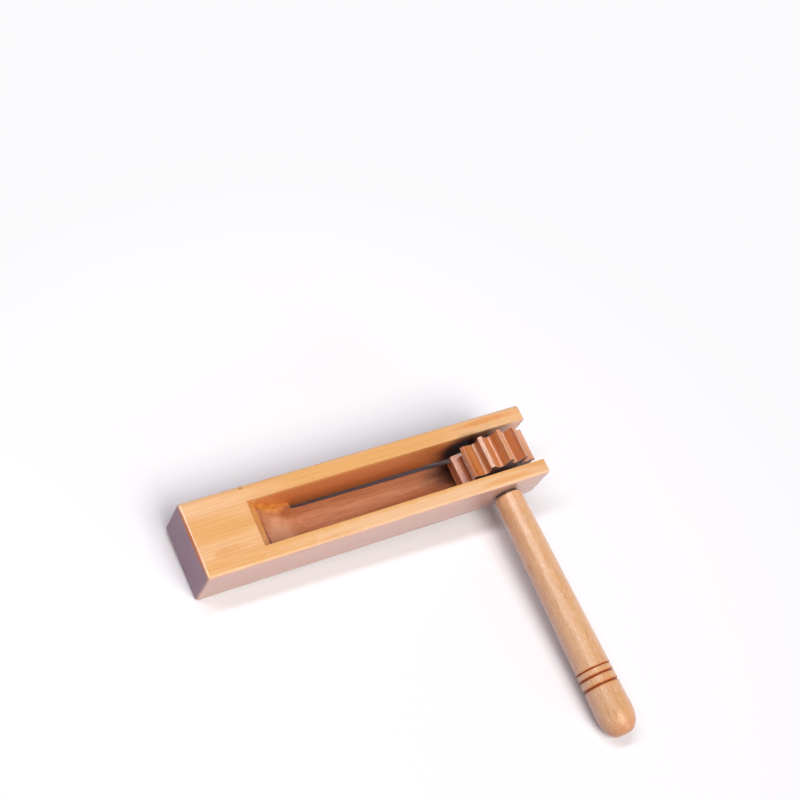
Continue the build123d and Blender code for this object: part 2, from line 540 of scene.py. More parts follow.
# Flat-sawn beech slat, planed and thinly lacquered: pinkish tan with long fine grain lines.
# Its marks are a root painted paler for the light that reaches it, lacquer that ran along the far wall, and
# a painted shadow that the cog casts on the blade.
TONGUE_WOOD = Wood(
    name="planed_flat_sawn_beech", pale="#D2946A", deep="#BE7446", ring_line="#A65C32", worn="#E6B892",
    fibres=Fibres.ALONG_FRAME, pith=(0.0, 46.0, -14.0), lean=(0.0, 3.0, 1.0), ring_width=3.4,
    ring_strength=0.25, wander=4.5, streak_strength=0.6, pore_strength=0.4, fleck_strength=0.08, bump=0.22,
    roughness=0.5, coat=0.3, coat_roughness=0.3, places=Places.REST,
    stains_and_painted_light=(
        # Painted light: the root is paler where light reaches it.
        StainOrPaintedLight((-35.0, 44.0, 14.0), (12.0, 11.0, 9.0), "#E8B892", 0.7, 0.6),
        StainOrPaintedLight((-34.0, 57.5, 14.0), (11.0, 4.8, 9.0), "#FFB868", 0.95, 0.5),
        # Painted shadow that the cog casts on the blade.
        StainOrPaintedLight((48.0, 51.0, 6.5), (23.0, 10.0, 8.0), "#300A04", 0.92),
    ),
)

# Beech milled into teeth and sealed: golden valleys with torn fibres, lands painted paler, partly as rubbed
# wear and partly as the highlight that lit lands catch, and darker end grain painted near black as the shade
# between the cog and the arms.
COG_WOOD = Wood(
    name="milled_beech", pale="#DA9258", deep="#C26C2C", ring_line="#96502A", worn="#F3D6BE",
    fibres=Fibres.ALONG_HANDLE, pith=(30.0, 0.0, -20.0), lean=(3.0, 0.0, 2.0), ring_width=2.6,
    ring_strength=0.2, wander=2.0, streak_strength=0.45, pore_strength=0.5, fleck_strength=0.12, bump=0.4,
    roughness=0.45, coat=0.7, coat_roughness=0.18, grit=0.7,
    tones=(
        # Partly rubbed wear, partly painted highlight: the lands are paler.
        Tone("#E4B08C", 0.4, (Band((AXLE_X, 0.0, AXLE_Z), ROUND_Y, 14.7, 15.1),)),
        # Painted shade: the end faces, darker end grain, are near black between the cog and the arms.
        Tone("#180804", 0.9, (Band((0.0, 47.65, 0.0), ACROSS_Y, 6.23, 6.33),)),
    ),
)

# Birch turned on a lathe and lacquered: pale satin tan with fine streaks and flecks down its length.
# The axle is painted dark as the shade in the holes and in the gap at the shoulder, and only lightly at its
# end. The lacquer is rubbed thin on the dome and burnt away in the rings.
# Its marks are a small brown fleck in the grip and a darker end of the dome.
HANDLE_WOOD = BurntWood(
    name="turned_birch", pale="#E6B482", deep="#DDA56F", ring_line="#B4703E", worn="#F6DCC6",
    fibres=Fibres.ALONG_HANDLE, pith=(40.0, 0.0, -12.0), lean=(2.0, 0.0, 1.5), ring_width=2.8,
    ring_strength=0.06, wander=2.0, streak_strength=0.35, pore_strength=0.42, fleck_strength=0.6, bump=0.25,
    roughness=0.4, coat=1.0, coat_roughness=0.3, haze=0.12,
    streaks=Figure(10.0, 0.5, 3.0, 0.32, 0.58), flecks=Figure(1.7, 0.24, 2.0, 0.56, 0.70),
    film=(
        Band(OFF_TIP, ACROSS_Y, 41.4, 49.4, 0.35, 1.0),
        *(Band(centre, size, 1.0, 1.6) for centre, size in BURNT_RINGS),
    ),
    tones=(
        # Painted shade: the axle is dark inside the arms and in the gap at the shoulder, and light at its
        # end.
        Tone("#3A1C10", 0.9, (
            Band(OFF_TIP, ACROSS_Y, 132.5, 133.1),
            Band(OFF_TIP, ACROSS_Y, 162.4, 162.7, 1.0, 0.2),
        )),
    ),
    stains_and_painted_light=(
        StainOrPaintedLight((48.5, 4.2, 16.6), (1.2, 2.0, 1.2), "#D08A44", 0.7, 0.6),
        StainOrPaintedLight((54.2, -61.0, 15.2), (9.0, 6.0, 9.0), "#C07638", 0.7),
    ),
)

# Dried glue: amber and shiny where it was wiped along the wall, nearly black where dirt sits in the joint.
AMBER_GLUE = Glue(name="amber_hide_glue", colour="#E09448", dirt="#CE7C36", roughness=0.3)
DARK_GLUE = Glue(name="dirty_hide_glue", colour="#5C2E18", dirt="#341608", roughness=0.5)


def edges_of(geometry: Iterable[Any]) -> list[BMEdge]:
    """Picks the edges out of what an operator returns."""
    return [item for item in geometry if isinstance(item, BMEdge)]


def verts_of(geometry: Iterable[Any]) -> list[BMVert]:
    """Picks the points out of what an operator returns."""
    return [item for item in geometry if isinstance(item, BMVert)]


def rim_of(made: Iterable[Any]) -> list[BMEdge]:
    """Picks the edges of the new rim out of what an extrusion returns."""
    points = set(verts_of(made))
    return [edge for edge in edges_of(made) if all(vert in points for vert in edge.verts)]


def everything(bm: BMesh) -> list[Any]:
    """All points, edges and faces of a mesh."""
    return [*bm.verts, *bm.edges, *bm.faces]


def lying_at(items: Iterable[Any], y: float) -> list[Any]:
    """Picks the edges or faces that lie wholly at y."""
    return [item for item in items if all(abs(vert.co.y - y) < WELD for vert in item.verts)]


def corners_of(bm: BMesh) -> list[BMEdge]:
    """Picks the sharp edges that stand out."""
    return [edge for edge in bm.edges if edge.is_convex and edge.calc_face_angle(0.0) > SHARP_ANGLE]


def slice_at(bm: BMesh, axis: Vector, place: float) -> None:
    """Cuts new edges where a plane across an axis meets the mesh."""
    bmesh.ops.bisect_plane(bm, geom=everything(bm), plane_co=axis * place, plane_no=axis)


def cap(bm: BMesh, y: float) -> None:
    """Closes the open loop of edges at y."""
    bmesh.ops.edgeloop_fill(bm, edges=[edge for edge in lying_at(bm.edges, y) if edge.is_boundary])


def spin(
    bm: BMesh, geometry: Iterable[Any], centre: Sequence[float], axis: Vector, angle: float, steps: int,
    **options: bool,
) -> list[Any]:
    """Sweeps geometry round an axis, or sets copies of it there, and gives back the last of it."""
    turn = {"cent": centre, "axis": axis, "angle": angle, "steps": steps, **options}
    return bmesh.ops.spin(bm, geom=list(geometry), **turn)["geom_last"]


def ease(bm: BMesh, edges: Sequence[BMEdge], width: float, segments: int = 2) -> None:
    """Rounds edges over and marks the middle of the rounding as worn.

    Args:
        bm: Mesh of the piece.
        edges: Edges to round.
        width: How far the rounding reaches from the edge, in mm.
        segments: Steps across the rounding.
    """
    layer = bm.loops.layers.float.get(EDGE_LAYER) or bm.loops.layers.float.new(EDGE_LAYER)
    made = bmesh.ops.bevel(
        bm, geom=list(edges), offset=width, segments=segments, profile=ROUND_PROFILE, affect="EDGES",
        material=-1, clamp_overlap=True,
    )["faces"]
    rounding = set(made)
    for face in made:
        for loop in face.loops:
            loop[layer] = float(all(other in rounding for other in loop.vert.link_faces))


def pierce(
    bm: BMesh, faces: Iterable[BMFace], centre: Vector, radius: float, sides: int = 48,
) -> list[BMEdge]:
    """Opens a round hole in a flat face.

    Args:
        bm: Mesh of the piece.
        faces: Flat faces, the largest of which gets the hole.
        centre: Middle of the hole, in the face's plane.
        radius: Radius of the hole, in mm.
        sides: Steps round the hole.

    Returns:
        Edges of the hole's rim.
    """
    face = max(faces, key=BMFace.calc_area)
    outline, normal = list(face.edges), face.normal.copy()
    turn = Matrix.Translation(centre) @ Matrix.Rotation(math.pi / 2, 4, "X")
    rim = bmesh.ops.create_circle(bm, cap_ends=False, segments=sides, radius=radius, matrix=turn)["verts"]
    rim_edges = list(dict.fromkeys(edge for vert in rim for edge in vert.link_edges))
    bmesh.ops.delete(bm, geom=[face], context="FACES_ONLY")
    bmesh.ops.triangle_fill(bm, use_beauty=True, edges=outline + rim_edges, normal=normal)
    return rim_edges


def sink(bm: BMesh, rim: Sequence[BMEdge], centre: Vector, shrink: float, shift: float) -> list[BMEdge]:
    """Runs a hole's rim inwards, as a countersink does.

    Args:
        bm: Mesh of the piece.
        rim: Edges of the rim.
        centre: Middle of the hole.
        shrink: New radius as a share of the old one.
        shift: How far the new rim lies along Y, in mm.

    Returns:
        Edges of the new rim.
    """
    made = bmesh.ops.extrude_edge_only(bm, edges=list(rim))["geom"]
    points = verts_of(made)
    bmesh.ops.scale(bm, vec=(shrink, 1.0, shrink), verts=points, space=Matrix.Translation(-centre))
    bmesh.ops.translate(bm, vec=(0.0, shift, 0.0), verts=points)
    return rim_of(made)


def finished(bm: BMesh, name: str, material: Material) -> Object:
    """Turns a mesh in mm into a shaded object in metres.

    Args:
        bm: Mesh of the piece, which is used up.
        name: Name of the piece.
        material: Its finish.

    Returns:
        The new object, at the origin.
    """
    bmesh.ops.recalc_face_normals(bm, faces=bm.faces)
    open_edges = sum(not edge.is_manifold for edge in bm.edges)
    bmesh.ops.scale(bm, vec=(MM, MM, MM), verts=bm.verts)
    mesh = bpy.data.meshes.new(name)
    bm.to_mesh(mesh)
    bm.free()
    mesh.shade_smooth()
    mesh.set_sharp_from_angle(angle=SHARP_ANGLE)
    mesh.materials.append(material)
    piece = bpy.data.objects.new(name, mesh)
    bpy.context.scene.collection.objects.link(piece)
    shading = piece.modifiers.new("even_shading", "WEIGHTED_NORMAL")
    shading.keep_sharp = True
    counts = len(mesh.vertices), len(mesh.polygons), open_edges
    LOG.info("%s: %d points, %d faces, %d open edges", name, *counts)
    return piece


@dataclass(frozen=True)
class SlotCutter:
    """The round cutter that ran out into the butt, seen along Y."""

    x: float = -17.8791
    z: float = 41.8
    radius: float = 33.0

    def sweep(self, bm: BMesh, geometry: Iterable[Any], start: Pair, end: Pair, steps: int) -> list[Any]:
        """Sweeps geometry round the cutter's axis from one X and Z to another, and gives the last of it."""
        first, last = (math.atan2(z - self.z, x - self.x) for x, z in (start, end))
        return spin(bm, geometry, (self.x, 0.0, self.z), -Y_AXIS, last - first, steps)


@dataclass
class SlottedBlock:
    """The frame: a block with a ramped slot between two arms, bored for the axle."""

    cutter: SlotCutter
    wood: Wood
    butt_x: float = -70.0
    near_y: float = 34.1
    far_y: float = 63.1
    back_z: float = 5.2
    slot_x: float = -46.4
    seam_x: float = -41.64
    seam_z: float = 18.9
    ramp_steps: int = 8
    outer_round: float = 1.25
    outer_steps: int = 4
    rim_round: float = 0.4
    bevel_length: float = 16.0
    bevel_depth: float = 3.2
    bevel_width: float = 1.6
    hole_radius: float = 4.1
    hole_lip: float = 0.3

    def build(self) -> Object:
        """Builds the block.

        Returns:
            The dressed piece.
        """
        bm = bmesh.new()
        self._block(bm)
        self._sand_arm_ends(bm)
        self._open_slot(bm)
        self._ease_rims(bm)
        self._bore(bm)
        piece = finished(bm, "slotted_block", self.wood.material())
        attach(piece, "frame")
        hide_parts("frame")
        return piece

    def _block(self, bm: BMesh) -> None:
        """Makes the eased block.

        Args:
            bm: Mesh of the block.
        """
        size = Vector((END_X - self.butt_x, self.far_y - self.near_y, TOP_Z - self.back_z))
        middle = Vector((END_X + self.butt_x, self.far_y + self.near_y, TOP_Z + self.back_z)) / 2
        place = Matrix.Translation(middle) @ Matrix.Diagonal((*size, 1.0))
        bmesh.ops.create_cube(bm, size=1.0, matrix=place)
        ease(bm, bm.edges[:], self.outer_round, self.outer_steps)

    def _sand_arm_ends(self, bm: BMesh) -> None:
        """Slopes the outer back corners off towards the arm ends.

        Args:
            bm: Mesh of the block.
        """
        for side_y, inward in ((self.far_y, -1), (self.near_y, 1)):
            start = Vector((END_X - self.bevel_length, side_y, self.back_z))
            up = Vector((self.bevel_length, 0.0, self.bevel_depth))
            over = Vector((self.bevel_length, inward * self.bevel_width, 0.0))
            cut = bmesh.ops.bisect_plane(
                bm, geom=everything(bm), plane_co=start, plane_no=over.cross(up) * inward, clear_outer=True,
            )["geom_cut"]
            bmesh.ops.holes_fill(bm, edges=edges_of(cut))

    def _open_slot(self, bm: BMesh) -> None:
        """Cuts the slot out between the arms, with its ramp and its end wall.

        Args:
            bm: Mesh of the block.
        """
        for y in (SLOT_NEAR_Y, SLOT_FAR_Y):
            slice_at(bm, Y_AXIS, y)
        facing = Vector((self.seam_x - self.slot_x, 0.0, self.back_z - TOP_Z)).cross(Y_AXIS)
        strip = self._between_arms(bm)
        parts = [*strip, *(e for f in strip for e in f.edges), *(v for f in strip for v in f.verts)]
        corner = Vector((self.slot_x, 0.0, TOP_Z))
        bmesh.ops.bisect_plane(bm, geom=list(dict.fromkeys(parts)), plane_co=corner, plane_no=facing)
        gone = [f for f in self._between_arms(bm) if (f.calc_center_median() - corner).dot(facing) > 0]
        bmesh.ops.delete(bm, geom=gone, context="FACES")
        top_edge = self._open_edge(bm, self.slot_x, TOP_Z)
        back_edge = self._open_edge(bm, self.seam_x, self.back_z)
        start, end = (self.slot_x, TOP_Z), (self.seam_x, self.seam_z)
        last = self.cutter.sweep(bm, [top_edge, *top_edge.verts], start, end, self.ramp_steps)
        bmesh.ops.contextual_create(bm, geom=[edges_of(last)[0], back_edge])
        for y in (SLOT_NEAR_Y, SLOT_FAR_Y):
            cap(bm, y)
        bmesh.ops.recalc_face_normals(bm, faces=bm.faces)
        bmesh.ops.dissolve_limit(bm, angle_limit=FLAT_ANGLE, verts=bm.verts, edges=bm.edges)

    @staticmethod
    def _between_arms(bm: BMesh) -> list[BMFace]:
        """Faces that lie between the slot's two sides."""
        return [f for f in bm.faces if SLOT_NEAR_Y < f.calc_center_median().y < SLOT_FAR_Y]

    @staticmethod
    def _open_edge(bm: BMesh, x: float, z: float) -> BMEdge:
        """The open edge that runs across the slot at x and z."""
        there = [v for v in bm.verts if abs(v.co.x - x) < NEAR and abs(v.co.z - z) < NEAR]
        return next(e for e in bm.edges if e.is_boundary and all(v in there for v in e.verts))

    def _ease_rims(self, bm: BMesh) -> None:
        """Breaks the slot's rims on the open face; the sawn rims at the back stay sharp.

        Args:
            bm: Mesh of the block.
        """
        rims = [
            e for e in corners_of(bm)
            if all(SLOT_NEAR_Y - WELD < v.co.y < SLOT_FAR_Y + WELD for v in e.verts)
            and any(v.co.z > self.back_z + self.outer_round for v in e.verts)
        ]
        ease(bm, rims, self.rim_round)

    def _bore(self, bm: BMesh) -> None:
        """Bores the axle hole through both arms, with lightly countersunk mouths.

        Args:
            bm: Mesh of the block.
        """
        lip_radius = self.hole_radius + self.hole_lip
        bmesh.ops.remove_doubles(bm, verts=bm.verts, dist=WELD)
        for inner_y, outer_y in ((SLOT_FAR_Y, self.far_y), (SLOT_NEAR_Y, self.near_y)):
            rings: list[BMEdge] = []
            outward = math.copysign(1.0, outer_y - inner_y)
            for y, way in ((inner_y, outward), (outer_y, -outward)):
                centre = Vector((AXLE_X, y, AXLE_Z))
                flat = lying_at(bm.faces, y)
                joined = bmesh.ops.dissolve_faces(bm, faces=flat)["region"] if len(flat) > 1 else flat
                rim = pierce(bm, joined, centre, lip_radius)
                rings += sink(bm, rim, centre, self.hole_radius / lip_radius, way * self.hole_lip)
            bmesh.ops.bridge_loops(bm, edges=rings)


@dataclass
class SpringTongue:
    """The clapper slat: a thick root glued into the slot's end and a blade freed by two slits."""

    cutter: SlotCutter
    wood: Wood
    root_top: Pair = (-41.54, 18.7967)
    blade_start: Pair = (-19.1459, 8.8243)
    tip_top: Pair = (45.912, 6.325)
    tip_bottom: Pair = (45.8275, 4.1267)
    root_bottom: Pair = (-41.54, 7.483)
    slit_x: float = -25.4
    root_near_y: float = 39.8
    root_far_y: float = 56.8
    blade_near_y: float = 41.7
    blade_far_y: float = 54.9
    root_steps: int = 18
    edge_round: float = 0.3
    bend_step: float = 2.6
    bend_from_x: float = -30.0
    bend_to_x: float = 60.0

    def build(self) -> Object:
        """Builds the tongue, with cuts across its blade at even steps.

        Returns:
            The dressed piece.
        """
        bm = bmesh.new()
        self._blade(bm)
        self._root(bm)
        bmesh.ops.recalc_face_normals(bm, faces=bm.faces)
        ease(bm, corners_of(bm), self.edge_round)
        x = self.slit_x + self.bend_step
        while x < self.tip_bottom[0] - self.bend_step / 2:
            slice_at(bm, X_AXIS, x)
            x += self.bend_step
        rest = bm.verts.layers.float_vector.new(REST_LAYER)
        for vert in bm.verts:
            vert[rest] = vert.co * MM
        piece = finished(bm, "spring_tongue", self.wood.material())
        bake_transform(piece)
        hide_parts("tongue")
        return piece

    def _blade(self, bm: BMesh) -> None:
        """Draws the side view and runs it across the blade's width.

        Args:
            bm: Mesh of the tongue.
        """
        first = bm.verts.new((self.root_top[0], self.blade_near_y, self.root_top[1]))
        last = verts_of(self.cutter.sweep(bm, [first], self.root_top, self.blade_start, self.root_steps))[0]
        for x, z in (self.tip_top, self.tip_bottom, self.root_bottom):
            point = bm.verts.new((x, self.blade_near_y, z))
            bm.edges.new((last, point))
            last = point
        bm.edges.new((last, first))
        side = bmesh.ops.contextual_create(bm, geom=bm.edges[:])["faces"]
        made = bmesh.ops.extrude_face_region(bm, geom=side)["geom"]
        bmesh.ops.translate(bm, vec=Y_AXIS * (self.blade_far_y - self.blade_near_y), verts=verts_of(made))

    def _root(self, bm: BMesh) -> None:
        """Widens the root to the slot's width, up to where the slits start.

        Args:
            bm: Mesh of the tongue.
        """
        slice_at(bm, X_AXIS, self.slit_x)
        for y, wide_y in ((self.blade_near_y, self.root_near_y), (self.blade_far_y, self.root_far_y)):
            cheek = [f for f in lying_at(bm.faces, y) if f.calc_center_median().x < self.slit_x]
            made = bmesh.ops.extrude_face_region(bm, geom=cheek)["geom"]
            bmesh.ops.delete(bm, geom=cheek, context="FACES")
            bmesh.ops.translate(bm, vec=Y_AXIS * (wide_y - y), verts=verts_of(made))


@dataclass
class ToothedCog:
    """The cog: valleys with straight flanks and a rounded bottom, milled along a wooden disc."""

    wood: Wood
    far_y: float = 54.0
    near_y: float = 41.3
    teeth: int = 12
    radius: float = 15.1999
    valley_depth: float = 4.4
    valley_nose: float = 1.4
    flank_angle: float = 30.0
    valley_angle: float = -134.43
    nose_steps: int = 8
    land_steps: int = 3
    bore_radius: float = 4.05
    tooth_round: float = 0.12
    tooth_weld: float = 0.001

    def build(self) -> Object:
        """Builds the cog.

        Returns:
            The dressed piece.
        """
        bm = bmesh.new()
        self._teeth(bm)
        for y in (self.far_y, self.near_y):
            cap(bm, y)
        bmesh.ops.recalc_face_normals(bm, faces=bm.faces)
        ease(bm, corners_of(bm), self.tooth_round)
        rings: list[BMEdge] = []
        for y in (self.far_y, self.near_y):
            rings += pierce(bm, lying_at(bm.faces, y), Vector((AXLE_X, y, AXLE_Z)), self.bore_radius)
        bmesh.ops.bridge_loops(bm, edges=rings)
        piece = finished(bm, "toothed_cog", self.wood.material())
        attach(piece, "rotor")
        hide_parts("cog")
        return piece

    def _teeth(self, bm: BMesh) -> None:
        """Sweeps one valley and one land, runs them across the cog and repeats them round it.

        Args:
            bm: Mesh of the cog.
        """
        middle = Vector((AXLE_X, self.far_y, AXLE_Z))
        pitch = 2 * math.pi / self.teeth
        lean, angle = math.radians(self.flank_angle), math.radians(self.valley_angle)
        nose_out = self.radius - self.valley_depth + self.valley_nose
        half_mouth = lean - math.asin((nose_out * math.sin(lean) - self.valley_nose) / self.radius)
        nose = middle + self._polar(nose_out, angle)
        first = bm.verts.new(nose + self._polar(self.valley_nose, angle + math.pi / 2 + lean))
        last = spin(bm, [first], nose, -Y_AXIS, math.pi - 2 * lean, self.nose_steps)
        corner = bm.verts.new(middle + self._polar(self.radius, angle + half_mouth))
        bm.edges.new((corner, first))
        other = bm.verts.new(middle + self._polar(self.radius, angle - half_mouth))
        bm.edges.new((verts_of(last)[0], other))
        spin(bm, [other], middle, Y_AXIS, pitch - 2 * half_mouth, self.land_steps)
        made = bmesh.ops.extrude_edge_only(bm, edges=bm.edges[:])["geom"]
        bmesh.ops.translate(bm, vec=Y_AXIS * (self.near_y - self.far_y), verts=verts_of(made))
        others = self.teeth - 1
        spin(bm, everything(bm), middle, Y_AXIS, pitch * others, others, use_duplicate=True)
        bmesh.ops.remove_doubles(bm, verts=bm.verts, dist=self.tooth_weld)

    @staticmethod
    def _polar(length: float, angle: float) -> Vector:
        """Gives a vector across the axle, of a length and at an angle from +X towards +Z."""
        return length * Vector((math.cos(angle), 0.0, math.sin(angle)))


@dataclass
class GlueLines:
    """Dried glue round the tongue's root: a wiped fillet by the far wall and a dark bead in the joint."""

    cutter: SlotCutter
    fillet_glue: Glue
    bead_glue: Glue
    fillet_from: float = -147.0
    fillet_to: float = -104.0
    fillet_wide: float = 1.5
    fillet_end: float = 0.15  # width at its ends, as a share
    fillet_wave: float = 0.18
    fillet_rate: float = 19.0
    fillet_gap: float = 0.01
    fillet_steps: int = 26
    bead_x: float = -41.56
    bead_z: float = 18.74
    bead_radius: float = 0.24
    bead_thins: float = 0.75
    bead_wave: float = 0.22
    bead_rates: Pair = (9.0, 31.0)
    bead_sides: int = 10
    bead_near_y: float = 39.75
    bead_far_y: float = 51.5
    bead_steps: int = 24

    def build(self) -> Object:
        """Builds both lines.

        Returns:
            The bead, which is built last.
        """
        fillet = self._fillet()
        bead = self._bead()
        for piece in (fillet, bead):
            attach(piece, "frame")
        return bead

    def _fillet(self) -> Object:
        """Runs a flat, ragged triangle down the corner of the ramp and the far wall.

        Returns:
            The dressed piece.
        """
        bm = bmesh.new()
        axis = Vector((self.cutter.x, SLOT_FAR_Y, self.cutter.z))
        turn = Matrix.Rotation(math.radians(-self.fillet_from), 3, "Y")
        corner = Vector((self.cutter.radius, 0.0, 0.0))
        gap = self.fillet_gap
        offsets = ((0.0, -gap, 0.0), (0.0, -1.0, 0.0), (-1.0, -gap, 0.0))
        ring = [bm.verts.new(axis + turn @ (corner + Vector(offset))) for offset in offsets]
        for pair in zip(ring, (*ring[1:], ring[0])):
            bm.edges.new(pair)
        angle = math.radians(self.fillet_to - self.fillet_from) / self.fillet_steps
        step = Matrix.Translation(axis) @ Matrix.Rotation(-angle, 4, "Y") @ Matrix.Translation(-axis)
        self._run(bm, axis + turn @ corner, step, self.fillet_steps, self._fillet_size)
        return finished(bm, "glue_fillet", self.fillet_glue.material())

    def _bead(self) -> Object:
        """Runs a thin bead across the ramp in the joint, thinning out towards the far wall.

        Returns:
            The dressed piece.
        """
        bm = bmesh.new()
        start = Vector((self.bead_x, self.bead_near_y, self.bead_z))
        place = Matrix.Translation(start) @ Matrix.Rotation(math.pi / 2, 4, "X")
        bmesh.ops.create_circle(
            bm, cap_ends=False, segments=self.bead_sides, radius=self.bead_radius, matrix=place,
        )
        step = Matrix.Translation(Y_AXIS * (self.bead_far_y - self.bead_near_y) / self.bead_steps)
        self._run(bm, start, step, self.bead_steps, self._bead_size)
        return finished(bm, "glue_bead", self.bead_glue.material())

    @staticmethod
    def _run(bm: BMesh, centre: Vector, step: Matrix, steps: int, size_at: Callable[[float], float]) -> None:
        """Runs a ring on step by step while it swells and shrinks, and closes its two ends.

        Args:
            bm: Mesh that holds the first ring.
            centre: What the first ring swells about.
            step: How each ring lies to the one before it.
            steps: Number of steps.
            size_at: Size of a ring, against the first, at a share of the length.
        """
        edges, size = bm.edges[:], 1.0
        for index in range(1, steps + 1):
            made = bmesh.ops.extrude_edge_only(bm, edges=edges)["geom"]
            points = verts_of(made)
            bmesh.ops.transform(bm, matrix=step, verts=points)
            centre = step @ centre
            ring_size = size_at(index / steps)
            bmesh.ops.scale(bm, vec=(ring_size / size,) * 3, verts=points, space=Matrix.Translation(-centre))
            edges, size = rim_of(made), ring_size
        bmesh.ops.holes_fill(bm, edges=bm.edges)

    def _fillet_size(self, share: float) -> float:
        """Width of the fillet in mm along its length: thin ends and an uneven middle."""
        swell = self.fillet_end + (1 - self.fillet_end) * math.sin(math.pi * share)
        return self.fillet_wide * swell * (1 + self.fillet_wave * math.sin(self.fillet_rate * share))

    def _bead_size(self, share: float) -> float:
        """Size of the bead along its length: uneven, and thin at its end."""
        slow, fast = (rate * share for rate in self.bead_rates)
        return (1 - self.bead_thins * share**3) * (1 + self.bead_wave * math.sin(slow) * math.cos(fast))


@dataclass
class TurnedHandle:
    """The handle: a tapered grip with a domed end, burnt rings and the axle turned on its other end."""

    wood: Wood
    axle_radius: float = 4.0
    axle_end_y: float = 62.8
    axle_lead: float = 0.5
    shoulder_y: float = 33.3
    shoulder_round: float = 0.7
    shoulder_ease: float = 0.3  # how far in the middle of the rounding lies, as a share of it
    neck_radius: float = 5.4
    grip_radius: float = 6.95
    tip_y: float = -63.09
    tip_flat: float = 2.0
    ring_depth: Triple = (0.35, 0.5, 0.5)
    ring_side: tuple[Pair, ...] = ((1.15, 0.0), (0.8, 0.16), (0.3, 0.9))  # shares of half width and of depth
    dome_steps: int = 20
    turns: int = 96

    def radius_at(self, y: float) -> float:
        """Radius of the taper at y."""
        share = (self.shoulder_y - y) / (self.shoulder_y - DOME_Y)
        return self.neck_radius + (self.grip_radius - self.neck_radius) * share

    def build(self) -> Object:
        """Builds the handle.

        Returns:
            The dressed piece.
        """
        bm = bmesh.new()
        last = self._outline(bm)
        self._dome(bm, last)
        centre = (AXLE_X, 0.0, AXLE_Z)
        spin(bm, [*bm.verts, *bm.edges], centre, Y_AXIS, 2 * math.pi, self.turns, use_merge=True)
        bmesh.ops.remove_doubles(bm, verts=bm.verts, dist=WELD)
        piece = finished(bm, "turned_handle", self.wood.material())
        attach(piece, "rotor")
        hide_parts("handle")
        return piece

    def _outline(self, bm: BMesh) -> BMVert:
        """Draws the half profile from the axle's end to the dome.

        Args:
            bm: Mesh of the handle.

        Returns:
            The point where the dome starts.
        """
        round_y = self.shoulder_y - self.shoulder_round
        eased = self.shoulder_ease * self.shoulder_round
        profile = [
            (0.0, self.axle_end_y),
            (self.axle_radius - self.axle_lead, self.axle_end_y),
            (self.axle_radius, self.axle_end_y - self.axle_lead),
            (self.axle_radius, self.shoulder_y),
            (self.neck_radius - self.shoulder_round, self.shoulder_y),
            (self.neck_radius - eased, self.shoulder_y - eased),
            (self.radius_at(round_y), round_y),
        ]
        other_side = [(-off, sunk) for off, sunk in reversed(self.ring_side)]
        for y, half, depth in zip(BURNT_AT, BURNT_HALF, self.ring_depth):
            for off, sunk in (*self.ring_side, (0.0, 1.0), *other_side):
                place = y + off * half
                profile.append((self.radius_at(place) - sunk * depth, place))
        profile.append((self.grip_radius, DOME_Y))
        points = [bm.verts.new((AXLE_X + radius, y, AXLE_Z)) for radius, y in profile]
        for pair in zip(points, points[1:]):
            bm.edges.new(pair)
        return points[-1]

    def _dome(self, bm: BMesh, start: BMVert) -> None:
        """Rounds the end over from the widest point to the tip.

        Args:
            bm: Mesh of the handle.
            start: Last point of the profile.
        """
        before = set(bm.verts)
        centre = Vector((AXLE_X + self.tip_flat, DOME_Y, AXLE_Z))
        last = spin(bm, [start], centre, -Z_AXIS, math.pi / 2, self.dome_steps)
        arc = [vert for vert in bm.verts if vert not in before]
        stretch = (DOME_Y - self.tip_y) / (self.grip_radius - self.tip_flat)
        bmesh.ops.scale(bm, vec=(1.0, stretch, 1.0), verts=arc, space=Matrix.Translation(-centre))
        tip = bm.verts.new((AXLE_X, self.tip_y, AXLE_Z))
        bm.edges.new((verts_of(last)[0], tip))


DIRECT_RAYS = ("Is Camera Ray", "Is Glossy Ray", "Is Transmission Ray")


class Source(Enum):
    """Sorts of lamp: a far, even one that lights floor and part alike, and a soft box close by."""

    FAR = "SUN"
    BOX = "AREA"


@dataclass(frozen=True)
class Lamp:
    """One lamp: its name and sort, the way to it, its power and colour, and how large it looks."""

    name: str
    source: Source
    way: Triple
    power: float
    colour: str
    spread: float = 0.0
    sides: Pair = (0.0, 0.0)
    distance: float = 1200.0


